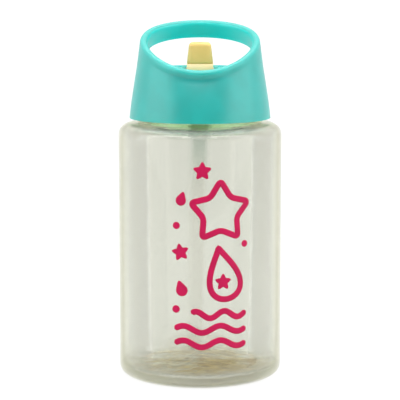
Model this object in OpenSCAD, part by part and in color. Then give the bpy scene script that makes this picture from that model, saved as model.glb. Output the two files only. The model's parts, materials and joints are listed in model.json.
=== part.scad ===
// Kids water bottle with a screw lid, a carry ring and a fold-down drinking spout.
// Origin: centre of the foot. +Z is up, the front is -Y and the high side of the ring is +Y.
// Closed lid, spout upright.

/* [Bottle body] */
// Outer diameter of the body
body_d = 74; // [60:1:90]
// Height of the flat shoulder above the foot
shoulder_z = 114.7; // [90:0.1:150]
// Wall thickness of the body
body_wall = 2; // [1.4:0.1:3]
// Radius of the shoulder's outer round
shoulder_round = 5.5; // [3:0.5:9]
// Radius of the outer round at the foot
foot_round = 3.8; // [2.4:0.2:5]
// Thickness of the base at its edge
base_t = 4.2; // [2.5:0.1:6]
// Width of the flat foot ring that the bottle stands on
foot_w = 4; // [2:0.5:8]
// Depth of the hollow under the base, and of the dome over it
punt_h = 2.4; // [1:0.2:5]

/* [Neck] */
// Outer diameter of the neck, without its thread
neck_d = 48.4; // [38:0.2:60]
// Wall thickness of the neck
neck_wall = 1.8; // [1.2:0.1:3]
// Height of the neck above the shoulder
neck_h = 18; // [15:0.5:24]
// How far the neck's collar stands out
collar_w = 3.8; // [1:0.2:5]
// Height of the neck's collar above the shoulder
collar_h = 1.6; // [0.8:0.1:3]

/* [Thread] */
// Rise of the thread in one turn
thread_pitch = 5; // [4:0.1:6]
// Length of the thread in turns, and of the lid's travel
thread_turns = 1.25; // [1:0.05:1.4]
// How far each thread ridge stands out
thread_h = 1.1; // [0.8:0.1:1.5]
// Width of each thread ridge at its root
thread_w = 1.7; // [1.2:0.1:2]
// Gap between a ridge's crest and the wall that it faces
thread_gap = 0.3; // [0.2:0.05:0.5]
// Height of the thread's lower end above the shoulder
thread_start = 7; // [6:0.5:9]

/* [Inner cap] */
// Wall thickness of the inner cap's sleeve
sleeve_wall = 1.2; // [1:0.1:2]
// Gap between the sleeve's lower edge and the collar
sleeve_gap = 1.4; // [0.6:0.1:3]
// Thickness of the deck
deck_t = 5; // [4:0.1:7]
// Thickness of the sleeve's rim, which seats under the shell's ledge
sleeve_rim = 1.2; // [0.8:0.1:2]
// Depth of the broad dish in the deck
dish_h = 1.1; // [0.6:0.1:1.6]
// Width of the broad dish in the deck
dish_w = 24; // [18:1:30]
// Thickness of the lid's sealing ring
seal_t = 1.2; // [0.8:0.1:2]
// Wall of the boss round the rotor's pocket, and floor of the trough
boss_wall = 1.6; // [1.2:0.1:2.4]
// Floor of the boss under the seal's seat
boss_floor = 2; // [1.4:0.1:3]
// Room in the trough past the folded mouthpiece's tip
trough_room = 1.5; // [0.6:0.1:3]
// Gap on each side of a fixed fit
fit = 0.05; // [0.02:0.01:0.1]

/* [Lid shell] */
// Wall thickness of the skirt
lid_wall = 2.4; // [1.8:0.1:3.2]
// Wall thickness of the carry ring
ring_wall = 3.4; // [2.4:0.1:4.4]
// Slope of the shell's wall in degrees
lid_draft = 7.56; // [4:0.1:10]
// Gap between the shell's lower edge and the shoulder
skirt_gap = 2.2; // [1:0.1:4]
// Height of the ring's top above the deck at the front
ring_front = 0.8; // [0.6:0.1:4]
// Height of the ring's top above the deck at the middle
ring_side = 14.1; // [10:0.1:20]
// Height of the ring's top above the deck at the back
ring_back = 21; // [16:0.1:30]
// How much of the ring's slope gathers at its ends, from 0 to 1
ring_sweep = 0.08; // [0:0.02:0.5]
// Height of the ring's band over the finger window
band_h = 8; // [6:0.1:12]
// Distance from the middle of the lid to the finger window's front end
window_y = 5; // [2:0.5:12]
// Radius of the finger window's front corners
window_round = 4; // [2:0.5:4]
// Radius of the hollow under the front lip
brow_r = 5; // [3:0.5:8]
// Depth of the hollow under the front lip
brow_h = 1.4; // [0.6:0.1:1.6]

/* [Spout] */
// Width of the spout's rotor and of the mouthpiece's foot
spout_w = 11.8; // [9:0.2:15]
// Radius of the rotor
rotor_r = 5.2; // [4.4:0.1:6]
// Distance of the pivot in front of the lid's middle
pivot_front = 6; // [3:0.5:9]
// Depth of the pivot's axis below the deck
pivot_drop = 0.5; // [0:0.1:2]
// Height of the mouthpiece's seat above the pivot
seat_h = 3.2; // [2.4:0.1:3.8]
// Height of the mouthpiece above its seat
mouth_h = 9.5; // [7:0.5:14]
// Width of the mouthpiece at its top
mouth_top_w = 9.6; // [7:0.2:12]
// Front-to-back depth of the mouthpiece at its foot
mouth_d = 8.4; // [7:0.2:9]
// Front-to-back depth of the mouthpiece at its top
mouth_top_d = 6.4; // [5:0.2:8]
// Diameter of the drinking bore
bore_d = 3.8; // [3:0.1:4.4]
// Outer diameter of the post inside the mouthpiece
post_d = 5.6; // [5:0.1:6]
// Height of the post above the mouthpiece's seat
post_h = 5.5; // [4:0.5:8]
// Diameter of the hinge pins
pin_d = 2.4; // [1.6:0.1:3]
// Length of each hinge pin
pin_l = 4.9; // [4:0.1:7]
// Thickness of each pin's lug
lug_t = 1.8; // [1.2:0.1:3]
// Wall of the lug round the pin's hole
lug_wall = 1.1; // [0.8:0.1:2]
// How far each pin stands out of its lug
pin_proud = 0.25; // [0:0.05:0.6]
// Width and depth of the seal under the rotor
pad_w = 9; // [7:0.5:10]
// Thickness of the seal under the rotor, at its thinnest
pad_t = 2.6; // [1.6:0.1:3.4]
// Size of the bevel round the mouthpiece's top
mouth_bevel = 1.2; // [0.6:0.1:2]
// Diameter of the hole in the mouthpiece's top
mouth_hole_d = 2.8; // [2:0.1:3.4]
// Gap between the turning spout and what surrounds it
swing_gap = 0.4; // [0.3:0.05:0.8]
// Radial gap of a running fit
run = 0.08; // [0.05:0.01:0.1]

/* [Straw] */
// Outer diameter of the straw and of the nipple that it meets
straw_d = 7.3; // [6:0.1:9]
// Wall thickness of the straw
straw_wall = 0.8; // [0.5:0.1:1.2]
// Gap between the straw's lower end and the floor
straw_gap = 2; // [1:0.5:12]
// Lean of the straw to the left in degrees
straw_lean = 1.4; // [0:0.1:2.4]
// Length of the straw connector
connector_l = 18; // [14:1:24]
// Wall thickness of the straw connector
connector_wall = 1.5; // [1:0.1:2.5]
// Length of the nipple under the spout's seat
nipple_l = 8; // [6:0.5:12]
// Gap in the connector between the nipple's end and its bend, and from there to the straw
bend_gap = 1; // [0.5:0.1:2]

/* [Vent] */
// Diameter of the vent's hole through the deck
vent_d = 3; // [2:0.1:4]
// Distance of the vent from the lid's middle, to the left
vent_x = 13; // [11:0.5:15]
// Distance of the vent from the lid's middle, to the back
vent_y = 6; // [0:0.5:8]
// Thickness of the valve's flange under the deck
flange_t = 0.9; // [0.6:0.1:1.4]
// How far the valve's flange stands out
flange_w = 1.7; // [1:0.1:2.4]
// Thickness of the valve's bead on top of the deck
bead_t = 0.6; // [0.4:0.1:1]
// How far the valve's bead stands out
bead_w = 0.6; // [0.4:0.1:1]
// Depth of the bead's recess below the dish
bead_sink = 0.9; // [0.6:0.1:1.2]
// Length of the valve's bill
bill_h = 3.4; // [2.4:0.1:5]

/* [Hidden] */
$fn = 96;
over = 1;               // how far a cutting solid runs past the face that it cuts

// Bottle
body_r = body_d / 2;
neck_r = neck_d / 2;
mouth_r = neck_r - neck_wall;
neck_z = shoulder_z + neck_h;
foot_r = body_r - foot_round - foot_w;
dome_r = (foot_r * foot_r + punt_h * punt_h) / (2 * punt_h);
floor_z = base_t + punt_h;

// Thread: the lid's ridge runs half a pitch below the neck's
crest_r = neck_r + thread_h;
sleeve_in = crest_r + thread_gap;
sleeve_out = sleeve_in + sleeve_wall;
thread_z = shoulder_z + thread_start;
root_sink = 0.5;        // how deep a ridge's root is buried in its wall
thread_steps = 60;      // segments in one turn
thread_fade = 20;       // degrees over which each end of a ridge fades out
thread_end = 0.1;       // share of the ridge's height that is left at its ends
crest_w = 0.4 * thread_w;

// Lid
deck_low = neck_z + seal_t;
deck_z = deck_low + deck_t;
ledge_z = deck_low + sleeve_rim;
sleeve_z = shoulder_z + collar_h + sleeve_gap;
skirt_z = shoulder_z + skirt_gap;
slope = tan(lid_draft);
ledge_r = sleeve_out + fit + lid_wall;
function shell_r(z) = ledge_r + (ledge_z - z) * slope;
deck_r = shell_r(deck_z) - ring_wall - fit;
top_z = deck_z + ring_back;

// Ring: its top follows a cubic from the front to the back
ring_rise = (ring_back - ring_front) / 2;
ring_bow = (ring_back + ring_front) / 2 - ring_side;
front_y = shell_r(deck_z + ring_front) - ring_wall / 2;
back_y = shell_r(top_z) - ring_wall / 2;
function ring_t(y) = y < 0 ? y / front_y : y / back_y;
function ring_cubic(t) = ring_rise * t * (1 - ring_sweep + ring_sweep * t * t) + ring_bow * t * t;
function ring_z(y) = deck_z + ring_side + ring_cubic(ring_t(y));
function window_arch(y) = y < window_y + window_round
    ? sqrt(1 - pow((window_y + window_round - y) / window_round, 2)) : 1;
function window_z(y) = deck_z + (ring_z(y) - band_h - deck_z) * window_arch(y);

// Spout
pivot_y = -pivot_front;
pivot_z = deck_z - pivot_drop;
seat_z = pivot_z + seat_h;
mouth_z = seat_z + mouth_h;
pocket_w = spout_w + 2 * swing_gap;
reach = mouth_z - pivot_z;
pin_out = pocket_w / 2 + lug_t + pin_proud;
pad_z = pivot_z - rotor_r - run - pad_t;
boss_z = pad_z - boss_floor;
boss_r = norm([pocket_w / 2, rotor_r]) + boss_wall;
trough_z = pivot_z - mouth_d / 2 - swing_gap;
trough_y = reach + trough_room;
dish_r = (dish_w * dish_w / 4 + dish_h * dish_h) / (2 * dish_h);

// Straw
nipple_z = boss_z - nipple_l;
bend_z = nipple_z - bend_gap;
straw_r = straw_d / 2;
straw_l = (bend_z - bend_gap - floor_z - straw_gap) / cos(straw_lean);

// Vent
bead_z = deck_z - dish_h - bead_sink;
bead_gap = 0.2;

// Places what follows with its own X across the lid and its Z along the pivot's axis
module on_pivot() {
    translate([0, pivot_y, pivot_z]) rotate([90, 0, 90]) children();
}

// A side-view outline in Y and Z, as wide as the whole lid
module side_cut() {
    rotate([90, 0, 90]) linear_extrude(4 * body_r, center = true) children();
}

// A ridge that climbs a wall of radius wall_r, standing out by rise (inwards when negative)
module thread_ridge(wall_r, rise, z) {
    sink = rise > 0 ? -root_sink : root_sink;
    steps = round(thread_steps * thread_turns);
    function grow(i) = min(1, min(i, steps - i) * 360 / thread_steps / thread_fade);
    function tip(i) = rise * (thread_end + (1 - thread_end) * grow(i));
    function point(i, dr, dz) = let (a = i * 360 / thread_steps)
        [(wall_r + dr) * cos(a), (wall_r + dr) * sin(a), z + dz + i * thread_pitch / thread_steps];
    sides = [for (i = [0:steps]) each
        [point(i, sink, -thread_w / 2), point(i, tip(i), -crest_w / 2),
         point(i, tip(i), crest_w / 2), point(i, sink, thread_w / 2)]];
    walls = [for (i = [0:steps - 1], k = [0:3]) let (a = 4 * i + k, b = 4 * i + (k + 1) % 4)
        each rise > 0 ? [[a, b + 4, a + 4], [a, b, b + 4]] : [[a, a + 4, b + 4], [a, b + 4, b]]];
    first = [for (k = [0:3]) rise > 0 ? 3 - k : k];
    last = [for (k = [0:3]) 4 * steps + (rise > 0 ? k : 3 - k)];
    polyhedron(points = sides, faces = concat(walls, [first, last]), convexity = 6);
}

module bottle_outline() {
    translate([0, foot_round]) square([body_r, shoulder_z - shoulder_round - foot_round]);
    square([body_r - foot_round, shoulder_z]);
    translate([body_r - foot_round, foot_round]) circle(foot_round);
    translate([body_r - shoulder_round, shoulder_z - shoulder_round]) circle(shoulder_round);
    square([body_r - shoulder_round, shoulder_z]);
    square([neck_r, neck_z]);
    square([neck_r + collar_w, shoulder_z + collar_h]);
}

module bottle_cavity() {
    corner = foot_round - body_wall / 2;
    crown = shoulder_round - body_wall;
    in_r = body_r - body_wall;
    top = shoulder_z - body_wall;
    translate([0, base_t + corner]) square([in_r, top - crown - base_t - corner]);
    translate([0, base_t]) square([in_r - corner, 2 * corner]);
    translate([in_r - corner, base_t + corner]) circle(corner);
    translate([0, top - 2 * crown]) square([in_r - crown, 2 * crown]);
    translate([in_r - crown, top - crown]) circle(crown);
    square([mouth_r, neck_z + over]);
}

module bottle_body() {
    color([0.82, 0.85, 0.76, 0.5]) union() {
        rotate_extrude() intersection() {
            difference() {
                bottle_outline();
                difference() {
                    bottle_cavity();
                    translate([0, floor_z - dome_r]) circle(dome_r, $fn = 720);
                    square([body_r, base_t]);
                }
                translate([0, punt_h - dome_r]) circle(dome_r, $fn = 720);
            }
            square([body_r, neck_z]);
        }
        thread_ridge(neck_r, thread_h, thread_z);
    }
}

module shell_wall() {
    polygon([[shell_r(skirt_z) - lid_wall, skirt_z], [shell_r(skirt_z), skirt_z],
             [shell_r(top_z), top_z], [shell_r(top_z) - ring_wall, top_z],
             [shell_r(ledge_z) - ring_wall, ledge_z], [shell_r(ledge_z) - lid_wall, ledge_z]]);
}

module lid_shell() {
    reach_y = 2 * body_r;
    window_l = shell_r(deck_z) - window_y - window_round;
    ring_ys = [for (i = [-12:12]) i < 0 ? i / 12 * shell_r(skirt_z) : i / 12 * shell_r(ledge_z)];
    window_ys = concat([for (a = [0:15:90]) window_y + window_round * (1 - cos(a))],
                       [for (i = [1:6]) window_y + window_round + i * window_l / 6]);
    color([0.22, 0.72, 0.67]) difference() {
        rotate_extrude() shell_wall();
        // the slanted top of the ring
        side_cut() polygon(concat([for (y = ring_ys) [y, ring_z(y)]],
            [[reach_y, top_z], [reach_y, top_z + body_r],
             [-reach_y, top_z + body_r], [-reach_y, ring_z(-shell_r(skirt_z))]]));
        // the finger window behind the deck
        side_cut() polygon(concat([[window_y, deck_z]], [for (y = window_ys) if (y > window_y) [y, window_z(y)]],
            [[reach_y, window_z(shell_r(deck_z))], [reach_y, deck_z]]));
        // the hollow under the front lip
        translate([0, -shell_r(ledge_z) - brow_r + brow_h, ledge_z]) rotate([0, 90, 0])
            cylinder(r = brow_r, h = body_d, center = true);
    }
}

module cap_profile() {
    // deck
    translate([0, deck_low]) square([deck_r, deck_t]);
    translate([0, deck_low]) square([sleeve_out, sleeve_rim]);
    // sleeve round the neck
    translate([sleeve_in, sleeve_z]) square([sleeve_wall, ledge_z - sleeve_z]);
}

module inner_cap() {
    color([0.20, 0.66, 0.61]) difference() {
        union() {
            difference() {
                union() {
                    rotate_extrude() cap_profile();
                    // boss that holds the rotor's seat, and the floor of the trough
                    translate([0, pivot_y, boss_z]) cylinder(r = boss_r, h = deck_low + over - boss_z);
                    translate([-pocket_w / 2 - boss_wall, pivot_y, trough_z - boss_wall])
                        cube([pocket_w + 2 * boss_wall, trough_y + boss_wall, deck_t - over]);
                }
                // broad dish in the deck
                translate([0, 0, deck_z - dish_h + dish_r]) rotate([90, 0, 0])
                    cylinder(r = dish_r, h = body_d, center = true);
            }
            // lugs for the hinge pins
            for (side = [-1, 1]) on_pivot() translate([0, 0, side * (pocket_w + lug_t) / 2])
                cylinder(r = pin_d / 2 + lug_wall, h = lug_t, center = true);
            translate([0, pivot_y, nipple_z]) cylinder(d = straw_d, h = nipple_l + over);
            thread_ridge(sleeve_in, -thread_h, thread_z - thread_pitch / 2);
        }
        // pocket for the rotor, and the trough that the spout folds into
        on_pivot() cylinder(r = rotor_r + swing_gap, h = pocket_w, center = true);
        translate([-pocket_w / 2, pivot_y - rotor_r - swing_gap, pivot_z])
            cube([pocket_w, rotor_r + swing_gap, deck_t]);
        translate([-pocket_w / 2, pivot_y, trough_z]) cube([pocket_w, trough_y, deck_t + mouth_d]);
        // seat of the seal under the rotor
        translate([-pad_w / 2 - fit, pivot_y - pad_w / 2 - fit, pad_z])
            cube([pad_w + 2 * fit, pad_w + 2 * fit, pad_w]);
        on_pivot() cylinder(d = pin_d + 2 * fit, h = 2 * pin_out + 2 * over, center = true);
        translate([0, pivot_y, nipple_z - over]) cylinder(d = bore_d, h = deck_z - nipple_z);
        translate([-vent_x, vent_y, deck_low - over]) cylinder(d = vent_d + 2 * fit, h = deck_t + 2 * over);
        translate([-vent_x, vent_y, bead_z]) cylinder(r = vent_d / 2 + bead_w + bead_gap, h = deck_t);
    }
}

module lid_seal() {
    color("white") translate([0, 0, neck_z]) difference() {
        cylinder(r = sleeve_in - fit - thread_gap, h = seal_t - fit);
        translate([0, 0, -over]) cylinder(r = mouth_r + thread_gap, h = seal_t + 2 * over);
    }
}

module spout_body() {
    color([0.90, 0.82, 0.42]) difference() {
        union() {
            intersection() {
                on_pivot() cylinder(r = rotor_r, h = spout_w, center = true);
                translate([-spout_w, pivot_y - rotor_r - over, pivot_z - rotor_r - over])
                    cube([2 * spout_w, 2 * (rotor_r + over), rotor_r + over + seat_h]);
            }
            translate([0, pivot_y, pivot_z]) cylinder(d = post_d, h = seat_h + post_h);
        }
        translate([0, pivot_y, pivot_z - rotor_r - over])
            cylinder(d = bore_d, h = rotor_r + seat_h + post_h + 2 * over);
        for (side = [-1, 1]) on_pivot() translate([0, 0, side * pin_out])
            cylinder(d = pin_d + 2 * run, h = 2 * (pin_l + fit), center = true);
    }
}

// A symmetrical outline of the mouthpiece, from its foot at 0 up to its bevelled top
module mouth_outline(foot, top) {
    lower = mouth_h - mouth_bevel;
    crown = top / 2 - mouth_bevel;
    polygon([[-foot / 2, 0], [foot / 2, 0], [top / 2, lower],
             [crown, mouth_h], [-crown, mouth_h], [-top / 2, lower]]);
}

module mouthpiece() {
    color([0.88, 0.80, 0.40]) difference() {
        intersection() {
            translate([0, pivot_y, seat_z]) rotate([90, 0, 0]) linear_extrude(2 * mouth_d, center = true)
                mouth_outline(spout_w, mouth_top_w);
            translate([0, pivot_y, seat_z]) rotate([90, 0, 90]) linear_extrude(2 * spout_w, center = true)
                mouth_outline(mouth_d, mouth_top_d);
        }
        translate([0, pivot_y, seat_z - over]) cylinder(d = post_d + 2 * fit, h = post_h + over + fit);
        translate([0, pivot_y, seat_z]) cylinder(d = mouth_hole_d, h = mouth_h + over);
    }
}

module hinge_pins() {
    color("dimgray") for (side = [-1, 1])
        on_pivot() translate([0, 0, side * (pin_out - pin_l / 2)])
            cylinder(d = pin_d, h = pin_l, center = true);
}

module spout_seal() {
    color("whitesmoke") difference() {
        translate([-pad_w / 2, pivot_y - pad_w / 2, pad_z]) cube([pad_w, pad_w, trough_z - pad_z]);
        on_pivot() cylinder(r = rotor_r + run, h = 2 * pad_w, center = true);
        translate([0, pivot_y, pad_z - over]) cylinder(d = bore_d, h = pad_w);
    }
}

// Places what follows on the straw's axis, with the bend at the origin
module on_straw() {
    translate([0, pivot_y, bend_z]) rotate([0, straw_lean, 0]) children();
}

module straw_connector() {
    outer_r = straw_r + connector_wall;
    color("white") difference() {
        union() {
            translate([0, pivot_y, bend_z]) cylinder(r = outer_r, h = connector_l / 2);
            on_straw() translate([0, 0, -connector_l / 2]) cylinder(r = outer_r, h = connector_l / 2);
            translate([0, pivot_y, bend_z]) sphere(outer_r);
        }
        translate([0, pivot_y, bend_z]) cylinder(r = straw_r + fit, h = connector_l);
        on_straw() translate([0, 0, -connector_l]) cylinder(r = straw_r + fit, h = connector_l);
        translate([0, pivot_y, bend_z]) sphere(straw_r + fit);
    }
}

module drinking_straw() {
    color([0.85, 0.88, 0.80, 0.6]) on_straw() translate([0, 0, -bend_gap - straw_l]) difference() {
        cylinder(r = straw_r, h = straw_l);
        translate([0, 0, -over]) cylinder(r = straw_r - straw_wall, h = straw_l + 2 * over);
    }
}

module vent_valve() {
    slit_w = 0.2;
    lip_w = 1;
    flange_z = deck_low - flange_t;
    bill_z = flange_z - bill_h;
    color("white") translate([-vent_x, vent_y, 0]) difference() {
        union() {
            translate([0, 0, flange_z]) cylinder(d = vent_d, h = bead_z + bead_t / 2 - flange_z);
            translate([0, 0, bead_z]) cylinder(r = vent_d / 2 + bead_w, h = bead_t);
            translate([0, 0, flange_z]) cylinder(r = vent_d / 2 + flange_w, h = flange_t);
            translate([0, 0, bill_z]) intersection() {
                cylinder(d = vent_d, h = bill_h);
                rotate([90, 0, 0]) linear_extrude(2 * vent_d, center = true)
                    polygon([[-lip_w / 2, 0], [lip_w / 2, 0], [vent_d / 2, bill_h], [-vent_d / 2, bill_h]]);
            }
        }
        // air way down to the slit between the lips
        translate([0, 0, flange_z - flange_t]) cylinder(d = 0.4 * vent_d, h = deck_t + bill_h);
        translate([-slit_w / 2, -vent_d / 4, bill_z - over]) cube([slit_w, vent_d / 2, bill_h]);
    }
}

bottle_body();
lid_shell();
inner_cap();
lid_seal();
spout_body();
mouthpiece();
hinge_pins();
spout_seal();
straw_connector();
drinking_straw();
vent_valve();
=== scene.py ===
"""A kids water bottle: clear body, screw lid with a carry ring, fold-down spout and straw."""

import json
import math

import bmesh
import bpy
from mathutils import Matrix, Vector, noise


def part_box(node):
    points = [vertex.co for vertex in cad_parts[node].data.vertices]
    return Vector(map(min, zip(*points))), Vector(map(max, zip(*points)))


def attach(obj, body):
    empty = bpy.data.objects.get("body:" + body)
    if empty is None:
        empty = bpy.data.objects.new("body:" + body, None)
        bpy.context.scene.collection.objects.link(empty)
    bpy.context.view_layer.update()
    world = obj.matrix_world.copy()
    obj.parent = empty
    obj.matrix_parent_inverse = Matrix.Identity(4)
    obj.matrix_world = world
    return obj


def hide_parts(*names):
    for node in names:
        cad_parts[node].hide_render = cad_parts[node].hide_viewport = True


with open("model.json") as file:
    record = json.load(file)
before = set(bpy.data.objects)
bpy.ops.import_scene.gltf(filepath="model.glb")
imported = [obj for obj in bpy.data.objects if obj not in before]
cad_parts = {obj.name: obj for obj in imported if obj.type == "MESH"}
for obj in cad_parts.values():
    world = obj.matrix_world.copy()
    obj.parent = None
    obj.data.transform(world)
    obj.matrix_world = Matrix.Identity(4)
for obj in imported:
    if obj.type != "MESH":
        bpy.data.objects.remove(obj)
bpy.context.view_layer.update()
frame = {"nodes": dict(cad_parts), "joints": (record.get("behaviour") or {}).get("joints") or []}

MM = 0.001
AXIS = (0, 0, 1)


def millimetres(node):
    """The lowest and highest corner of a CAD node, in millimetres."""
    low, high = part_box(node)
    return Vector(low) / MM, Vector(high) / MM


def smooth(value):
    """0 below 0, 1 above 1, and an even change between them."""
    value = max(0.0, min(1.0, value))
    return value * value * (3 - 2 * value)


def polar(radius, turn, z):
    """A point at a turn from the front."""
    return Vector((radius * math.sin(turn), -radius * math.cos(turn), z))


def joint(name):
    return next(j for j in frame["joints"] if j["name"] == name)


# ---------------------------------------------------------------- sizes, in millimetres

body_low, body_high = millimetres("bottle_body")
shell_low, shell_high = millimetres("lid_shell")
mouth_low, mouth_high = millimetres("mouthpiece")
straw_low, _ = millimetres("drinking_straw")
link_low, link_high = millimetres("straw_connector")
pins_low, pins_high = millimetres("hinge_pins")

BODY_R = (body_high.x - body_low.x) / 2
BODY_WALL = 2.0
NECK_Z = body_high.z
SHOULDER_Z = NECK_Z - 18.0  # the top of the wide body
SHOULDER_ROUND = 5.5
FOOT_ROUND = 3.8
FOOT_R = BODY_R - FOOT_ROUND - 4.0
BASE_T = 4.2
PUNT = 2.4  # how far the foot is hollowed, and the floor raised
NECK_R = 24.2
NECK_WALL = 1.8
COLLAR_R = 28.0  # the ring at the neck's foot
COLLAR_H = 1.6

PIVOT = Vector(joint("spout_flip")["pos_m"]) / MM
DECK_Z = PIVOT.z + 0.5
SKIRT_Z = shell_low.z
TOP_Z = shell_high.z
LEDGE_Z = DECK_Z - 3.8
LEDGE_R = 29.25
DRAFT = math.tan(math.radians(7.56))  # how fast the lid narrows upwards
LID_WALL = 2.4
RING_WALL = 3.4
RIM_R = RING_WALL / 2
INNER_FACE_R = LEDGE_R - RING_WALL

SEAT_Z = mouth_low.z
BEND_Z = DECK_Z - 19.38  # where the straw starts to lean
LEAN = math.radians(1.4)

SAME_POINT = 0.0005  # closer points than this are one
WHOLE_TURN = 2 * math.pi
QUARTER = math.pi / 2


def shell_r(z):
    """Outer radius of the lid's wall at a height, with a slight flare towards the skirt."""
    flare = 0.3 * math.exp(-((z - SKIRT_Z - 6) / 9) ** 2) - 0.14 * smooth((z - DECK_Z + 6) / 8)
    return LEDGE_R + (LEDGE_Z - z) * DRAFT + flare


# ---------------------------------------------------------------- shader maths

class Value:
    """A socket whose sums, products and powers add Math nodes to its material."""

    def __init__(self, finish, socket):
        self.finish, self.socket = finish, socket

    def math(self, operation, *values):
        return self.finish.node("Math", {"operation": operation}, values)

    def __add__(self, other):
        return self.math("ADD", self, other)

    def __radd__(self, other):
        return self.math("ADD", other, self)

    def __sub__(self, other):
        return self.math("SUBTRACT", self, other)

    def __rsub__(self, other):
        return self.math("SUBTRACT", other, self)

    def __mul__(self, other):
        return self.math("MULTIPLY", self, other)

    def __rmul__(self, other):
        return self.math("MULTIPLY", other, self)

    def __truediv__(self, other):
        return self.math("DIVIDE", self, other)

    def __pow__(self, other):
        return self.math("POWER", self, other)


class Finish:
    """A material under construction, or the world's own nodes."""

    def __init__(self, name, owner=None):
        self.owner = owner or bpy.data.materials.new(name)
        self.owner.use_nodes = True
        self.tree = self.owner.node_tree
        self.tree.nodes.clear()

    def node(self, kind, settings=None, inputs=(), output=0):
        """Adds a node: its settings first, then the values or links of its sockets."""
        made = self.tree.nodes.new("ShaderNode" + kind)
        for key, value in (settings or {}).items():
            setattr(made, key, value)
        for key, value in inputs.items() if isinstance(inputs, dict) else enumerate(inputs):
            if isinstance(value, Value):
                self.tree.links.new(value.socket, made.inputs[key])
            else:
                made.inputs[key].default_value = value
        return Value(self, made.outputs[output]) if len(made.outputs) else None

    def place(self, scale=(1, 1, 1)):
        """The piece's own coordinates in metres, stretched by a scale."""
        own = self.node("TexCoord", output="Object")
        return self.node("Mapping", {}, {"Vector": own, "Scale": scale})

    def axis(self, name):
        """One coordinate of the piece, in millimetres."""
        return self.node("SeparateXYZ", {}, [self.node("TexCoord", output="Object")], name) * (1 / MM)

    def from_axis(self):
        """Distance from the bottle's axis, in millimetres."""
        return self.node("VectorMath", {"operation": "LENGTH"}, [self.place((1, 1, 0))], "Value") * (1 / MM)

    def noise(self, grain, detail=3.0, rough=0.5, stretch=(1, 1, 1), distort=0.0):
        """Noise from 0 to 1 whose lumps are about grain millimetres across."""
        return self.node("TexNoise", {}, {"Vector": self.place(stretch), "Scale": 1 / (grain * MM),
                                          "Detail": detail, "Roughness": rough, "Distortion": distort})

    def step(self, value, start, end, low=0.0, high=1.0):
        """Goes smoothly from low to high as the value goes from start to end."""
        return self.node("MapRange", {"interpolation_type": "SMOOTHSTEP"}, [value, start, end, low, high])

    def mix(self, share, first, second):
        return self.node("Mix", {"data_type": "RGBA"}, {0: share, 6: first, 7: second}, 2)

    def bump(self, height, depth, strength):
        """A surface relief whose height of 1 is depth millimetres."""
        return self.node("Bump", {}, {"Strength": strength, "Distance": depth * MM, "Height": height})

    def principled(self, **sockets):
        """The surface shader, joined to the output. Socket names have _ for a space."""
        named = {key.replace("_", " "): value for key, value in sockets.items()}
        shader = self.node("BsdfPrincipled", {}, named)
        self.node("OutputMaterial", {}, {"Surface": shader})
        return self.owner


def shade(red, green, blue):
    """A colour from its screen values of 0 to 255, as the shaders want it."""
    def linear(value):
        value /= 255
        return value / 12.92 if value <= 0.04045 else ((value + 0.055) / 1.055) ** 2.4
    return (linear(red), linear(green), linear(blue), 1.0)


# ---------------------------------------------------------------- finishes

def moulded(name, colour, deep, rough, gloss, scatter, spread, depth=1.5, grain=0.35, inside=None):
    """Injection-moulded plastic or silicone: two close tones, fine texture, soft gloss.

    A colour for the inside is painted light on the inner face of the carry ring: a lighter teal that stands
    for the light coming through its thin wall.
    """
    f = Finish(name)
    cloud = f.noise(9.0, 2.0)
    speck = f.noise(grain, 3.0, 0.6)
    base = f.mix(f.step(cloud, 0.35, 0.7), deep, colour)
    if inside:
        # painted light: the inside colour takes over on the ring's inner face, standing for light through
        # the thin wall
        level = f.from_axis() + (f.axis("Z") - LEDGE_Z) * DRAFT
        base = f.mix(f.step(level, INNER_FACE_R + 0.3, INNER_FACE_R - 0.1), base, inside)
    return f.principled(
        Base_Color=base,
        Roughness=rough - 0.05 + 0.1 * speck,
        Normal=f.bump(speck * 0.6 + cloud, 0.012, 0.5),
        Specular_IOR_Level=gloss,
        Subsurface_Weight=scatter,
        Subsurface_Radius=spread,
        Subsurface_Scale=depth * MM)


def clear_plastic():
    """Tinted clear bottle plastic: smoky yellow walls, paler in the base, and green at the neck as a painted
    reflection of the teal lid.
    """
    f = Finish("clear_plastic")
    swirl = f.noise(14.0, 2.0, 0.5, (1, 1, 0.35))
    haze = f.noise(0.8, 2.0, 0.6)
    wall = f.mix(swirl, (0.70, 0.71, 0.65, 1), (0.73, 0.74, 0.68, 1))
    away = f.from_axis()
    base = f.step(f.axis("Z"), 9.0, 6.0) * f.step(away, 33.0, 24.0)
    over = f.axis("Z") - SHOULDER_Z
    shoulder = f.step(over, -6.0, -2.0)
    # painted reflection: the neck, the collar and the top of the shoulder are painted green for the teal lid
    # that shows in the yellow plastic, darker on the collar
    neck = f.step(over, -3.0, -0.5) * f.step(away, 34.5, 32.0)
    collar = f.step(over, COLLAR_H + 0.6, COLLAR_H - 0.2)
    green = f.mix(collar, (0.84, 0.95, 0.80, 1), (0.38, 0.72, 0.32, 1))
    grazing = f.node("LayerWeight", {}, {"Blend": 0.5}, "Facing")
    surface = f.node("BsdfPrincipled", {}, {
        "Base Color": f.mix(neck, f.mix(base, wall, (0.84, 0.83, 0.70, 1)), green),
        "Roughness": 0.012 + 0.03 * haze,
        "Alpha": 0.6 + 0.2 * shoulder + 0.3 * base - 0.4 * f.step(grazing, 0.35, 0.75),
        "IOR": 1.5,
        "Transmission Weight": 1.0,
        "Normal": f.bump(swirl, 0.05, 0.25)})
    depth = f.node("VolumeAbsorption", {}, {"Color": (0.45, 0.45, 0.18, 1), "Density": 36.0})
    f.node("OutputMaterial", {}, {"Surface": surface, "Volume": depth})
    return f.owner


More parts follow.
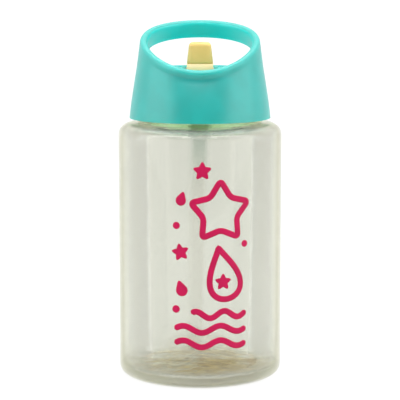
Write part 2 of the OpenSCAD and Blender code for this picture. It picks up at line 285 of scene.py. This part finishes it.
def flow_marks():
    """Amber marks of the flowing plastic, wrinkled, strongest towards the front of the floor."""
    f = Finish("amber_marks")
    streak = f.noise(9.0, 4.0, 0.6, (0.45, 1.6, 1), 1.2)
    fine = f.noise(2.4, 3.0, 0.6, (0.45, 1.8, 1), 0.8)
    here = f.step(f.from_axis(), FOOT_R, FOOT_R - 6.0) * f.step(f.axis("Y"), 16.0, 4.0)
    return f.principled(
        Base_Color=f.mix(f.step(fine, 0.35, 0.65), shade(146, 116, 44), shade(226, 204, 140)),
        Roughness=0.2 + 0.2 * fine,
        Alpha=f.step(streak, 0.44, 0.53) * here * (0.25 + 1.2 * fine),
        Normal=f.bump(fine, 0.5, 0.8))


def straw_plastic():
    """Thin milky straw, with painted teal light from the lid at its upper end, where the lid shows down its
    wall.
    """
    f = Finish("straw_milky")
    milky = f.noise(2.5, 2.0, 0.5, (1, 1, 0.1))
    plain = f.mix(milky, shade(232, 222, 204), shade(242, 240, 226))
    # painted light: the straw's upper end is painted green for the teal lid that shows down its wall
    green = f.step(f.axis("Z"), 84.0, 108.0)
    return f.principled(
        Base_Color=f.mix(green, plain, shade(120, 196, 164)),
        Roughness=0.3 + 0.1 * milky,
        Specular_IOR_Level=0.2,
        Alpha=0.04 + 0.03 * milky + 0.05 * green,
        Normal=f.bump(milky, 0.02, 0.3))


def steel():
    f = Finish("pin_steel")
    brushed = f.noise(0.25, 3.0, 0.7, (0.05, 1, 1))
    # painted reflections: the left pin is painted reddish-brown and the right one grey-teal, for the
    # coloured plastic round them that shows in the steel
    side = f.step(f.axis("X"), -1.0, 1.0)
    painted_reflection = f.mix(side, shade(150, 104, 84), shade(140, 160, 160))
    return f.principled(
        Base_Color=f.mix(brushed, painted_reflection, shade(176, 170, 160)),
        Metallic=1.0,
        Roughness=0.22 + 0.2 * brushed,
        Normal=f.bump(brushed, 0.01, 0.3))


def ink():
    """Screen-print ink, a little uneven where the screen left it thin."""
    f = Finish("print_ink")
    screen = f.noise(0.5, 2.0, 0.5)
    patch = f.noise(7.0, 2.0, 0.5)
    return f.principled(
        Base_Color=f.mix(f.step(patch, 0.3, 0.75), shade(186, 0, 72), shade(172, 0, 66)),
        Roughness=0.45 + 0.15 * screen,
        Specular_IOR_Level=0.25,
        Normal=f.bump(screen, 0.01, 0.4))


# how far red, green and blue light spread inside a plastic, against each other
WARM = (1.0, 0.8, 0.4)
SEA = (0.35, 1.0, 0.95)
# the teal shell's inside colour is painted light on the carry ring's inner face, for light through its thin
# wall
TEAL = moulded("teal_shell", shade(4, 166, 159), shade(0, 160, 153), 0.34, 0.8, 0.8, SEA, 7.0,
               inside=shade(0, 190, 186))
TEAL_CAP = moulded("teal_cap", shade(28, 172, 164), shade(18, 166, 158), 0.45, 0.8, 0.6, SEA, 4.0)
YELLOW = moulded("yellow_silicone", shade(222, 192, 116), shade(216, 184, 106), 0.5, 0.5, 0.3, WARM)
PALE_YELLOW = moulded("yellow_rotor", shade(230, 208, 158), shade(224, 202, 148), 0.45, 0.5, 0.2, WARM)
SILICONE = moulded("white_silicone", shade(232, 236, 226), shade(222, 228, 218), 0.5, 0.4, 0.4, WARM)
CLEAR = clear_plastic()
MARKS = flow_marks()
STRAW = straw_plastic()
STEEL = steel()
INK = ink()


# ---------------------------------------------------------------- making meshes

def keep(bm, name, finish, body, stands_for=(), flat_angle=None):
    """Turns a bmesh in millimetres into a finished piece that rides on a body."""
    bmesh.ops.remove_doubles(bm, verts=bm.verts, dist=SAME_POINT)
    bmesh.ops.recalc_face_normals(bm, faces=bm.faces)
    bmesh.ops.scale(bm, vec=(MM, MM, MM), verts=bm.verts)
    for face in bm.faces:
        face.smooth = True
    mesh = bpy.data.meshes.new(name)
    bm.to_mesh(mesh)
    bm.free()
    mesh.materials.append(finish)
    piece = bpy.data.objects.new(name, mesh)
    bpy.context.scene.collection.objects.link(piece)
    if flat_angle is not None:
        mesh.set_sharp_from_angle(angle=math.radians(flat_angle))
    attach(piece, body)
    if stands_for:
        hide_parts(*stands_for)
    return piece


def profile(bm, corners, closed=False, segments=6):
    """A wire of (radius, height, round) corners in the XZ plane, each corner rounded."""
    verts = [bm.verts.new((r, 0, z)) for r, z, _ in corners]
    pairs = list(zip(verts, verts[1:])) + ([(verts[-1], verts[0])] if closed else [])
    for pair in pairs:
        bm.edges.new(pair)
    points = [Vector((r, 0, z)) for r, z, _ in corners]
    for i, vert in enumerate(verts):
        radius = corners[i][2]
        if radius:
            before = points[i - 1] - points[i]
            after = points[(i + 1) % len(points)] - points[i]
            setback = radius / math.tan(before.angle(after) / 2)
            bmesh.ops.bevel(bm, geom=[vert], offset=setback, offset_type="OFFSET", segments=segments,
                            profile=0.5, affect="VERTICES", material=-1)


def lathe(corners, steps=192, closed=False, segments=6):
    """A solid turned round Z from a rounded profile."""
    bm = bmesh.new()
    profile(bm, corners, closed, segments)
    bmesh.ops.spin(bm, geom=bm.verts[:] + bm.edges[:], axis=AXIS, cent=(0, 0, 0), steps=steps,
                   angle=WHOLE_TURN, use_merge=True)
    bmesh.ops.remove_doubles(bm, verts=bm.verts, dist=SAME_POINT)
    return bm


HOOP_R = 3.0  # of the raw hoop, before its points are moved to their places


def hoop(rows, columns):
    """A closed ring of rows x columns faces, with its section a circle of radius 1."""
    bm = bmesh.new()
    bmesh.ops.create_circle(bm, segments=rows, radius=1.0)
    bmesh.ops.rotate(bm, verts=bm.verts, cent=(0, 0, 0), matrix=Matrix.Rotation(QUARTER, 3, "X"))
    bmesh.ops.translate(bm, verts=bm.verts, vec=(0, -HOOP_R, 0))
    bmesh.ops.rotate(bm, verts=bm.verts, cent=(0, -HOOP_R, 0), matrix=Matrix.Rotation(QUARTER, 3, "Z"))
    bmesh.ops.spin(bm, geom=bm.verts[:] + bm.edges[:], axis=AXIS, cent=(0, 0, 0), steps=columns,
                   angle=WHOLE_TURN, use_merge=True)
    return bm


def station(point, rows):
    """(turn from the front, row) of a point on a hoop."""
    turn = math.atan2(point.x, -point.y)
    row = math.atan2(point.z, math.hypot(point.x, point.y) - HOOP_R) / WHOLE_TURN * rows
    return turn, round(row) % rows


# ---------------------------------------------------------------- the clear body

DOME_RINGS = 24


def dome(height, drop, reach, count):
    """Points of a shallow dome from its rim (not included) to its top on the axis."""
    radius = (reach * reach + drop * drop) / (2 * drop)
    spots = [reach * (1 - i / count) for i in range(1, count + 1)]
    return [(r, height + drop - radius + math.sqrt(radius * radius - r * r), 0) for r in spots]


def flow_relief(x, y):
    """Height of the flow lines on the floor of the body, strongest in its middle."""
    fade = max(0.0, 1 - (math.hypot(x, y) / FOOT_R) ** 4)
    lump = noise.noise(Vector((x / 11, y / 5, 3.1)))
    ripple = noise.noise(Vector((x / 4, y / 2.6, 7.7)))
    return fade * (0.3 * lump + 0.14 * ripple)


def make_body():
    """The bottle: outside from the punt up to the mouth, then inside back down to the floor."""
    in_r = BODY_R - BODY_WALL
    in_top = SHOULDER_Z - BODY_WALL
    mouth_r = NECK_R - NECK_WALL
    outside = [
        *reversed(dome(0, PUNT, FOOT_R, DOME_RINGS)),
        (FOOT_R, 0, 0.8),
        (BODY_R, 0, FOOT_ROUND),
        (BODY_R, SHOULDER_Z, SHOULDER_ROUND),
        (COLLAR_R, SHOULDER_Z, 0.5),
        (COLLAR_R, SHOULDER_Z + COLLAR_H, 0.4),
        (NECK_R, SHOULDER_Z + COLLAR_H, 0.5),
        (NECK_R, NECK_Z, 0.5)]
    inside = [
        (mouth_r, NECK_Z, 0.5),
        (mouth_r, in_top, 1.0),
        (in_r, in_top, SHOULDER_ROUND - BODY_WALL),
        (in_r, BASE_T, FOOT_ROUND - BODY_WALL / 2),
        (FOOT_R, BASE_T, 0),
        *dome(BASE_T, PUNT, FOOT_R, DOME_RINGS)]
    bm = lathe(outside + inside, 256, segments=10)
    above_punt = PUNT + 0.5
    for vert in bm.verts:
        if vert.co.z > above_punt:
            vert.co.z += flow_relief(vert.co.x, vert.co.y)
    keep(bm, "clear_bottle", CLEAR, "bottle", ["bottle_body"])


def make_marks():
    """A skin on the floor that carries the amber flow marks."""
    low, high = BASE_T + 0.05, BASE_T + 0.15
    corners = [*reversed(dome(low, PUNT, FOOT_R, DOME_RINGS)), (FOOT_R, low, 0), (FOOT_R, high, 0),
               *dome(high, PUNT, FOOT_R, DOME_RINGS)]
    bm = lathe(corners, 192)
    for vert in bm.verts:
        vert.co.z += flow_relief(vert.co.x, vert.co.y)
    keep(bm, "floor_flow_marks", MARKS, "bottle")


def make_thread():
    """The ridge on the neck that the lid climbs."""
    turns, pitch, rise, width, sunk = 1.25, 5.0, 1.1, 1.7, 0.3
    start = SHOULDER_Z + 7
    bm = bmesh.new()
    corners = [(NECK_R - sunk, -width / 2, 0), (NECK_R + rise, -width / 5, 0.25),
               (NECK_R + rise, width / 5, 0.25), (NECK_R - sunk, width / 2, 0)]
    profile(bm, corners, True, 3)
    face = bmesh.ops.contextual_create(bm, geom=bm.edges[:])["faces"]
    bmesh.ops.translate(bm, verts=bm.verts, vec=(0, 0, start))
    steps = round(96 * turns)
    bmesh.ops.spin(bm, geom=face, axis=AXIS, cent=(0, 0, 0), steps=steps, angle=WHOLE_TURN * turns,
                   dvec=(0, 0, pitch * turns / steps))
    keep(bm, "neck_thread", CLEAR, "bottle")


# ---------------------------------------------------------------- the lid's shell

RING_FRONT, RING_SIDE, RING_BACK = 0.8, 14.1, TOP_Z - DECK_Z
RING_SWEEP = 0.08  # share of the rise that comes late, near the front and the back
FRONT_Y = shell_r(DECK_Z + RING_FRONT) - RIM_R
BACK_Y = shell_r(TOP_Z) - RIM_R
WINDOW_TURN = math.radians(101.25)  # from the front to the window's front edge
WINDOW_BAND = 8.0
WINDOW_ROUND = 4.0
WINDOW_FADE = 5.0
LIP_H = 4.0
EDGE_ROUND = 0.8
SHARP_ANGLE = 0.9  # edges that turn by more than this are rounded
COLUMNS = 288


def ring_z(y):
    """Height of the ring's top, from the front lip to the back."""
    t = y / FRONT_Y if y < 0 else y / BACK_Y
    rise, bow = (RING_BACK - RING_FRONT) / 2, (RING_BACK + RING_FRONT) / 2 - RING_SIDE
    return DECK_Z + RING_SIDE + rise * t * (1 - RING_SWEEP + RING_SWEEP * t * t) + bow * t * t


def soft_min(a, b, blend):
    """The lesser of two values, with an even change where they cross."""
    share = max(0.0, min(1.0, 0.5 + (b - a) / (2 * blend)))
    return a * share + b * (1 - share) - blend * share * (1 - share)


def guides(turn):
    """Heights of the skirt's edge, the window's foot and head, and where the rim's round starts."""
    top = ring_z(-(shell_r(DECK_Z + 15) - RIM_R) * math.cos(turn))
    top = ring_z(-(shell_r(top) - RIM_R) * math.cos(turn))
    rim = top - RIM_R
    foot = soft_min(DECK_Z, top - LIP_H, 2.0)
    head = rim - soft_min(WINDOW_BAND - RIM_R, (rim - foot) / 2, 0.2)
    return SKIRT_Z, foot, head, rim


def corner_shift(along, height, tall):
    """How far the wall moves so that the window's square front corner becomes a quarter of an oval."""
    if along <= 0 and height <= tall:
        share, away = max(0.0, height) / tall / 2, math.hypot(along, min(0.0, height))
        home = Vector((0.0, share * 2 * tall))
    elif along >= 0 and height >= tall:
        share, away = (1 + min(1.0, along / WINDOW_ROUND)) / 2, height - tall
        home = Vector((min(along, WINDOW_ROUND), tall))
    elif along < 0:
        share, away = 0.5, math.hypot(along, height - tall)
        home = Vector((0.0, tall))
    else:
        return Vector((0.0, 0.0))
    angle = share * math.pi / 2
    target = Vector((WINDOW_ROUND * (1 - math.cos(angle)), tall * math.sin(angle)))
    return (target - home) * smooth(1 - away / WINDOW_FADE)


def brow(turn, below):
    """Depth of the hollow under the front lip: a short undercut, then a long fade."""
    if below <= 0:
        return 0.0
    return 2.3 * math.exp(-(turn / 0.6) ** 2) * smooth(below / 3.0) * math.exp(-below / 8.0)


def make_shell():
    """The lid's wall: skirt, finger window, and the carry ring with its round rim."""
    # rows of faces below, beside and above the window, and over the rim
    low, mid, high, arc = 16, 8, 8, 12
    climb = ([i / low for i in range(low)] + [1 + i / mid for i in range(mid)]
             + [2 + i / high for i in range(high)])
    stations = ([("outer", u) for u in climb] + [("rim", i / arc) for i in range(arc)]
                + [("inner", u) for u in [3.0] + climb[::-1]])
    rows = len(stations)
    bm = hoop(rows, COLUMNS)

    # the finger window goes through these rows, of the outer wall and of the inner one
    spans = ((low, low + mid), (rows - low - mid - 1, rows - low - 1))

    def in_window(face):
        places = [station(vert.co, rows) for vert in face.verts]
        if sum(abs(turn) for turn, _ in places) / len(places) < WINDOW_TURN:
            return False
        return any(all(first <= row <= last for _, row in places) for first, last in spans)

    cut = [face for face in bm.faces if in_window(face)]
    bmesh.ops.delete(bm, geom=cut, context="FACES")
    bmesh.ops.bridge_loops(bm, edges=[edge for edge in bm.edges if edge.is_boundary])

    for vert in bm.verts:
        turn, row = station(vert.co, rows)
        kind, value = stations[row]
        marks = guides(turn)
        _, foot, head, rim = marks
        if kind == "rim":
            angle = value * math.pi
            middle = shell_r(rim) - RIM_R
            vert.co = polar(middle + RIM_R * math.cos(angle), turn, rim + RIM_R * math.sin(angle))
            continue
        part = min(2, int(value))
        z = marks[part] + (value - part) * (marks[part + 1] - marks[part])
        middle = shell_r(z) - RIM_R
        along = (abs(turn) - WINDOW_TURN) * middle
        right, up = corner_shift(along, z - foot, head - foot)
        turn += math.copysign(1, turn) * right / middle
        z += up
        if kind == "outer":
            radius = shell_r(z) - brow(turn, rim - z)
        else:
            radius = shell_r(z) - (LID_WALL + (RING_WALL - LID_WALL) * smooth((z - LEDGE_Z + 0.6) / 0.6))
        vert.co = polar(radius, turn, z)

    bm.normal_update()
    sharp = [edge for edge in bm.edges if len(edge.link_faces) == 2 and edge.calc_face_angle() > SHARP_ANGLE]
    bmesh.ops.bevel(bm, geom=sharp, offset=EDGE_ROUND, offset_type="OFFSET", segments=4, profile=0.5,
                    affect="EDGES", clamp_overlap=True, material=-1)
    keep(bm, "lid_ring_shell", TEAL, "lid", ["lid_shell"])


# ---------------------------------------------------------------- the cap, spout and straw

def merged_copy(node, name, finish, body, width):
    """A copy of a CAD node with its facets merged, near corners joined and edges softened."""
    bm = bmesh.new()
    bm.from_mesh(frame["nodes"][node].data)
    bmesh.ops.scale(bm, vec=(1 / MM,) * 3, verts=bm.verts)
    bmesh.ops.remove_doubles(bm, verts=bm.verts, dist=0.002)
    bmesh.ops.dissolve_limit(bm, angle_limit=math.radians(1.0), verts=bm.verts, edges=bm.edges)
    bmesh.ops.remove_doubles(bm, verts=bm.verts, dist=0.03)
    piece = keep(bm, name, finish, body, [node], 32)
    bevel = piece.modifiers.new("soft_edges", "BEVEL")
    bevel.width = width * MM
    bevel.segments = 2
    bevel.limit_method = "ANGLE"
    bevel.angle_limit = math.radians(35)
    bevel.harden_normals = True


def rounded_box(turn, width, depth, power):
    """A point on a rectangle round the origin, whose corners are squarer for a higher power."""
    s, c = math.sin(turn), -math.cos(turn)
    r = (abs(s * 2 / width) ** power + abs(c * 2 / depth) ** power) ** (-1 / power)
    return r * s, r * c


def make_mouthpiece():
    """The silicone mouthpiece: outside up to its crown, then the hole and the post's socket."""
    foot_w, foot_d, top_w, top_d = 11.8, 8.4, 9.6, 6.4
    top_z = mouth_high.z
    height = top_z - SEAT_Z
    post_z = SEAT_Z + 5.55
    lip, hole, socket = 1.7, 2.8, 5.7
    walls = [0.0, 0.02, 0.06, 0.12, 0.2, 0.3, 0.4, 0.5, 0.6, 0.7, 0.78]
    crown = [i / 8 for i in range(9)]
    sections = []
    for share in walls:
        pinch = 0.35 * (1 - smooth(share / 0.04))
        sections.append((foot_w + (top_w - foot_w) * share - 2 * pinch,
                         foot_d + (top_d - foot_d) * share - 2 * pinch, SEAT_Z + height * share, 5.0))
    for share in crown:
        angle = share * math.pi / 2
        inset = lip * (1 - math.cos(angle))
        z = top_z - lip + lip * math.sin(angle)
        level = (z - SEAT_Z) / height
        sections.append((foot_w + (top_w - foot_w) * level - 2 * inset,
                         foot_d + (top_d - foot_d) * level - 2 * inset, z, 5.0 - 1.5 * share))
    sections += [(4.2, 4.0, top_z - 0.05, 2.0), (3.2, 3.2, top_z - 0.25, 2.0),
                 (hole, hole, top_z - 0.8, 2.0), (hole, hole, post_z + 0.3, 2.0),
                 (hole + 0.1, hole + 0.1, post_z, 2.0), (socket, socket, post_z, 2.0),
                 (socket, socket, SEAT_Z, 2.0), (7.0, 6.4, SEAT_Z, 2.6)]
    rows = len(sections)
    bm = hoop(rows, 96)
    for vert in bm.verts:
        turn, row = station(vert.co, rows)
        width, depth, z, power = sections[row]
        x, y = rounded_box(turn, width, depth, power)
        vert.co = (x, PIVOT.y + y, z)
    keep(bm, "mouthpiece_tip", YELLOW, "spout", ["mouthpiece"], 50)


def make_straw():
    """The straw, leaning from its upper end inside the sleeve."""
    outer, wall, top = 3.65, 0.8, BEND_Z - 1
    length = (top - straw_low.z) / math.cos(LEAN)
    corners = [(outer, -length, 0.3), (outer, 0, 0.3), (outer - wall, 0, 0.3), (outer - wall, -length, 0.3)]
    bm = lathe(corners, 64, True, 3)
    bmesh.ops.rotate(bm, verts=bm.verts, cent=(0, 0, 0), matrix=Matrix.Rotation(LEAN, 3, "Y"))
    bmesh.ops.translate(bm, verts=bm.verts, vec=(0, PIVOT.y, top))
    keep(bm, "straw_tube", STRAW, "lid", ["drinking_straw"])


def make_connector():
    """The silicone sleeve that joins the straw to the lid, with a bead round its lower lip."""
    outer, inner, bead = 5.15, 3.7, 5.5
    top, low = link_high.z, link_low.z + 0.15
    corners = [(inner, low, 0.3), (bead, low, 0.6), (bead, low + 1.9, 0.6),
               (outer, low + 2.6, 0.4), (outer, top, 0.5), (inner, top, 0.3), (inner, BEND_Z, 0)]
    bm = lathe(corners, 96, True, 4)
    cut = bm.verts[:] + bm.edges[:] + bm.faces[:]
    bmesh.ops.bisect_plane(bm, geom=cut, dist=0.0001, plane_co=(0, 0, BEND_Z), plane_no=AXIS)
    for vert in bm.verts:
        vert.co.x -= max(0.0, BEND_Z - vert.co.z) * math.tan(LEAN)
    bmesh.ops.translate(bm, verts=bm.verts, vec=(0, PIVOT.y, 0))
    keep(bm, "straw_sleeve", SILICONE, "lid", ["straw_connector"])


def make_lid_seal():
    """The silicone ring on the top of the neck."""
    low, high = millimetres("lid_seal")
    outer, inner = (high.x - low.x) / 2, NECK_R - NECK_WALL + 0.3
    corners = [(inner, low.z, 0.25), (outer, low.z, 0.25), (outer, high.z, 0.25), (inner, high.z, 0.25)]
    keep(lathe(corners, 128, True, 3), "lid_gasket", SILICONE, "seal", ["lid_seal"])


def make_pins():
    """Two pins with domed outer ends, one in each lug."""
    radius, length, dome_h = (pins_high.z - pins_low.z) / 2, 4.9, 0.15
    both = bmesh.new()
    for side in (-1, 1):
        pin = lathe([(0, 0, 0), (radius, 0, 0.3), (radius, length - dome_h, 0.5), (0, length, 0)],
                    48, False, 3)
        bmesh.ops.rotate(pin, verts=pin.verts, cent=(0, 0, 0),
                         matrix=Matrix.Rotation(side * QUARTER, 3, "Y"))
        bmesh.ops.translate(pin, verts=pin.verts, vec=(side * (pins_high.x - length), PIVOT.y, PIVOT.z))
        made = bpy.data.meshes.new("pin")
        pin.to_mesh(made)
        pin.free()
        both.from_mesh(made)
    keep(both, "steel_pins", STEEL, "lid", ["hinge_pins"])


# ---------------------------------------------------------------- the print

INK_R = BODY_R + 0.02
INK_T = 0.06
STROKE_W = 2.7
STROKE_TIP = 0.04  # half the width that is left at a round end
STROKE_FACES = 4  # across the width


def wrap(bm):
    """Lays a flat print, drawn in X and Z, round the body and gives it its thickness."""
    made = bmesh.ops.extrude_face_region(bm, geom=bm.faces[:])["geom"]
    raised = {item for item in made if isinstance(item, bmesh.types.BMVert)}
    for vert in bm.verts:
        radius = INK_R + (INK_T if vert in raised else 0)
        vert.co = polar(radius, vert.co.x / BODY_R, vert.co.z)


def stroke(bm, path, closed=False):
    """A ribbon along a path of (x, z) points, with round ends unless it is closed."""
    points = [Vector((x, 0, z)) for x, z in path]
    half, last = STROKE_W / 2, len(points) - 1
    along = [0.0]
    for a, b in zip(points, points[1:]):
        along.append(along[-1] + (b - a).length)
    row = []
    for i, point in enumerate(points):
        before = points[i - 1] if closed or i else point
        after = points[(i + 1) % len(points)] if closed or i < last else point
        way = (after - before).normalized()
        side = Vector((-way.z, 0, way.x))
        reach = half
        to_end = min(along[i], along[-1] - along[i])
        if not closed and to_end < half:
            reach = max(STROKE_TIP, math.sqrt(max(0.0, half * half - (half - to_end) ** 2)))
        spots = [point + side * reach * (2 * k / STROKE_FACES - 1) for k in range(STROKE_FACES + 1)]
        if not row:
            row = [bm.verts.new(spot) for spot in spots]
            edges = first = [bm.edges.new(pair) for pair in zip(row, row[1:])]
            continue
        grown = bmesh.ops.extrude_edge_only(bm, edges=edges)["geom"]
        start = row[0].co
        row = sorted((item for item in grown if isinstance(item, bmesh.types.BMVert)),
                     key=lambda vert: (vert.co - start).length)
        edges = [item for item in grown if isinstance(item, bmesh.types.BMEdge)
                 and all(vert in row for vert in item.verts)]
        for vert, spot in zip(row, spots):
            vert.co = spot
    if closed:
        bmesh.ops.bridge_loops(bm, edges=edges + first)


def blot(bm, centre, outline, points=60, rings=5):
    """A filled shape: outline(angle) gives its radius at each angle."""
    verts = bmesh.ops.create_circle(bm, segments=points, radius=1.0)["verts"]
    made = set(verts)
    edges = list({edge for vert in verts for edge in vert.link_edges})
    for left in range(rings, 1, -1):
        grown = bmesh.ops.extrude_edge_only(bm, edges=edges)["geom"]
        new = {item for item in grown if isinstance(item, bmesh.types.BMVert)}
        edges = [item for item in grown if isinstance(item, bmesh.types.BMEdge)
                 and new.issuperset(item.verts)]
        bmesh.ops.scale(bm, vec=((left - 1) / left,) * 3, verts=list(new))
        made |= new
    middle = bmesh.ops.edgeloop_fill(bm, edges=edges)["faces"]
    made |= set(bmesh.ops.poke(bm, faces=middle)["verts"])
    for vert in made:
        reach = vert.co.length
        angle = math.atan2(vert.co.y, vert.co.x)
        reach *= outline(angle) if reach > 0.01 else 0
        vert.co = (centre[0] + reach * math.cos(angle), 0, centre[1] + reach * math.sin(angle))


def star_reach(outer, inner, tilt, soft=0.25):
    """Radius of a soft five-pointed star at an angle."""
    def reach(angle):
        step = math.pi / 5
        local = (angle - tilt) % (2 * step)
        local = math.sqrt(min(local, 2 * step - local) ** 2 + (soft * step) ** 2) - soft * step * 0.6
        start, end = Vector((outer, 0)), Vector((inner * math.cos(step), inner * math.sin(step)))
        way = end - start
        return start.x * way.y / (way.y * math.cos(local) - way.x * math.sin(local))
    return reach


def drop_reach(size, tilt):
    """Radius of a small filled drop at an angle, its tip towards the tilt."""
    def reach(angle):
        turn = abs((angle - tilt + math.pi) % WHOLE_TURN - math.pi)
        return size * (1 + 0.75 * math.exp(-(turn / 0.42) ** 1.5))
    return reach


def star_path(centre, outer, inner, tilt, round_by=2.0, per=6):
    """A five-pointed star's outline with rounded points."""
    corners = []
    for i in range(10):
        r = inner if i % 2 else outer
        a = tilt + i * math.pi / 5
        corners.append(Vector((centre[0] + r * math.cos(a), centre[1] + r * math.sin(a))))
    path = []
    for i, corner in enumerate(corners):
        back, on = corners[i - 1], corners[(i + 1) % 10]
        start = corner + (back - corner).normalized() * round_by
        end = corner + (on - corner).normalized() * round_by
        for k in range(per + 1):
            t = k / per
            spot = start * (1 - t) ** 2 + corner * 2 * t * (1 - t) + end * t * t
            path.append((spot.x, spot.y))
    return path


def drop_path(centre, size, tilt, count=56):
    """A water drop's outline: round below, drawn out to a soft tip."""
    path = []
    for i in range(count):
        a = WHOLE_TURN * i / count
        x = size * math.sin(a) * math.sin(a / 2) ** 1.35
        z = size * 1.18 * math.cos(a)
        path.append((centre[0] + x * math.cos(tilt) - z * math.sin(tilt),
                     centre[1] + x * math.sin(tilt) + z * math.cos(tilt)))
    return path


def make_print():
    """The decoration: waves, a drop, stars and dots."""
    def add(name, draw):
        bm = bmesh.new()
        draw(bm)
        wrap(bm)
        keep(bm, name, INK, "bottle")

    def wave(z, left, right, swing, phase):
        count = 64
        return [(left + (right - left) * i / count,
                 z + swing * math.sin(2 * WHOLE_TURN * i / count + phase)) for i in range(count + 1)]

    def filled(name, centre, outline):
        add(name, lambda bm: blot(bm, centre, outline))

    up = QUARTER
    add("print_wave_low", lambda bm: stroke(bm, wave(20.8, -11.4, 21.2, 1.5, 0.0)))
    add("print_wave_mid", lambda bm: stroke(bm, wave(27.3, -11.4, 21.2, 1.5, 0.0)))
    add("print_wave_high", lambda bm: stroke(bm, wave(33.8, -4.0, 21.2, 1.5, 0.5)))
    add("print_big_star", lambda bm: stroke(bm, star_path((9.0, 79.0), 13.8, 7.8, up), True))
    add("print_big_drop", lambda bm: stroke(bm, drop_path((10.4, 52.0), 9.8, 0.2), True))
    filled("print_drop_star", (10.2, 48.2), star_reach(4.2, 2.1, up))
    filled("print_small_star", (1.0, 97.0), star_reach(4.6, 2.3, up))
    filled("print_left_star", (-8.6, 61.5), star_reach(4.4, 2.2, up + 0.2))
    filled("print_left_drop", (-8.4, 84.2), drop_reach(2.3, up - 0.3))
    filled("print_low_drop", (-8.0, 44.6), drop_reach(2.6, up + 0.3))
    filled("print_left_dot", (-10.4, 73.2), lambda angle: 1.6)
    filled("print_low_dot", (-10.6, 36.2), lambda angle: 1.7)
    filled("print_right_dot", (20.4, 64.6), lambda angle: 1.5)


make_body()
make_marks()
make_thread()
make_shell()
make_mouthpiece()
make_straw()
make_connector()
make_lid_seal()
make_pins()
merged_copy("inner_cap", "threaded_cap", TEAL_CAP, "lid", 0.25)
merged_copy("spout_body", "spout_rotor", PALE_YELLOW, "spout", 0.3)
merged_copy("spout_seal", "rotor_pad", SILICONE, "lid", 0.3)
merged_copy("vent_valve", "duckbill_vent", SILICONE, "lid", 0.12)
make_print()


# ---------------------------------------------------------------- stage, light and camera

FLOOR_SIZE = 8.0
FLOOR_NEAR_EDGE = -0.58
FLOOR_DROP = 0.0002
LIGHT_AIM = Vector((0, 0, 0.12))
LAMPS = (
    # name, place, size in metres, power in watts
    ("top_softbox", (0.0, 0.1, 0.9), (0.9, 0.7), 4.0),
    ("front_softbox", (0.0, -0.62, 0.75), (0.7, 0.3), 2.1))
CAMERA_PLACE = (0, -0.6925, 0.1813)
CAMERA_AIM = Vector((0, 0, 0.0791))
CAMERA_LENS = 138.15


def make_stage():
    """A white floor under the bottle, which begins a little way from the camera."""
    f = Finish("floor_white")
    grain = f.noise(40.0, 2.0)
    matt = f.principled(
        Base_Color=f.mix(grain, (0.15, 0.15, 0.15, 1), (0.17, 0.17, 0.17, 1)),
        Roughness=0.9,
        Emission_Color=(1, 1, 1, 1),
        Emission_Strength=0.8)
    bm = bmesh.new()
    bmesh.ops.create_grid(bm, x_segments=2, y_segments=2, size=FLOOR_SIZE)
    bmesh.ops.translate(bm, verts=bm.verts, vec=(0, FLOOR_SIZE + FLOOR_NEAR_EDGE, -FLOOR_DROP))
    mesh = bpy.data.meshes.new("studio_floor")
    bm.to_mesh(mesh)
    bm.free()
    mesh.materials.append(matt)
    floor = bpy.data.objects.new("studio_floor", mesh)
    bpy.context.scene.collection.objects.link(floor)


def make_light():
    """White walls with a darker gap to the front and brighter sides, and two softboxes."""
    scene = bpy.context.scene
    scene.world = bpy.data.worlds.new("studio")
    f = Finish("studio", scene.world)
    way = f.node("TexCoord", output="Generated")
    x, y, z = (f.node("SeparateXYZ", {}, [way], name) for name in "XYZ")
    facing = (0 - y) / (x * x + y * y + 0.0001) ** 0.5
    gap = f.step(facing, 0.70, 0.82) * f.step(z, 0.62, 0.45)
    sides = (f.step(facing, -0.3, -0.05) * f.step(facing, 0.76, 0.66)
             * f.step(z, 0.8, 0.6) * f.step(z, -0.2, 0.0))
    walls = 1.03 - 0.7 * gap + 1.1 * sides + 0.35 * f.step(z, 0.5, 0.8)
    seen = f.node("LightPath", output="Is Camera Ray")
    strength = walls * (1 - seen) + seen * 1.1
    glow = f.node("Background", {}, {"Color": (1, 1, 1, 1), "Strength": strength})
    f.node("OutputWorld", {}, {"Surface": glow})

    for name, place, size, power in LAMPS:
        lamp = bpy.data.lights.new(name, "AREA")
        lamp.shape = "RECTANGLE"
        lamp.size, lamp.size_y = size
        lamp.energy = power
        box = bpy.data.objects.new(name, lamp)
        scene.collection.objects.link(box)
        box.location = place
        box.rotation_mode = "QUATERNION"
        box.rotation_quaternion = (LIGHT_AIM - box.location).to_track_quat("-Z", "Y")


def make_camera():
    lens = bpy.data.cameras.new("camera")
    lens.sensor_width = 36.0
    lens.lens = CAMERA_LENS
    camera = bpy.data.objects.new("camera", lens)
    bpy.context.scene.collection.objects.link(camera)
    camera.location = CAMERA_PLACE
    camera.rotation_mode = "QUATERNION"
    camera.rotation_quaternion = (CAMERA_AIM - camera.location).to_track_quat("-Z", "Y")
    lens.clip_start, lens.clip_end = 0.01, 50.0
    bpy.context.scene.camera = camera


make_stage()
make_light()
make_camera()
bpy.context.scene.view_settings.view_transform = "Standard"
# light crosses many clear walls before it leaves the bottle
bpy.context.scene.cycles.max_bounces = 24
bpy.context.scene.cycles.transmission_bounces = 24
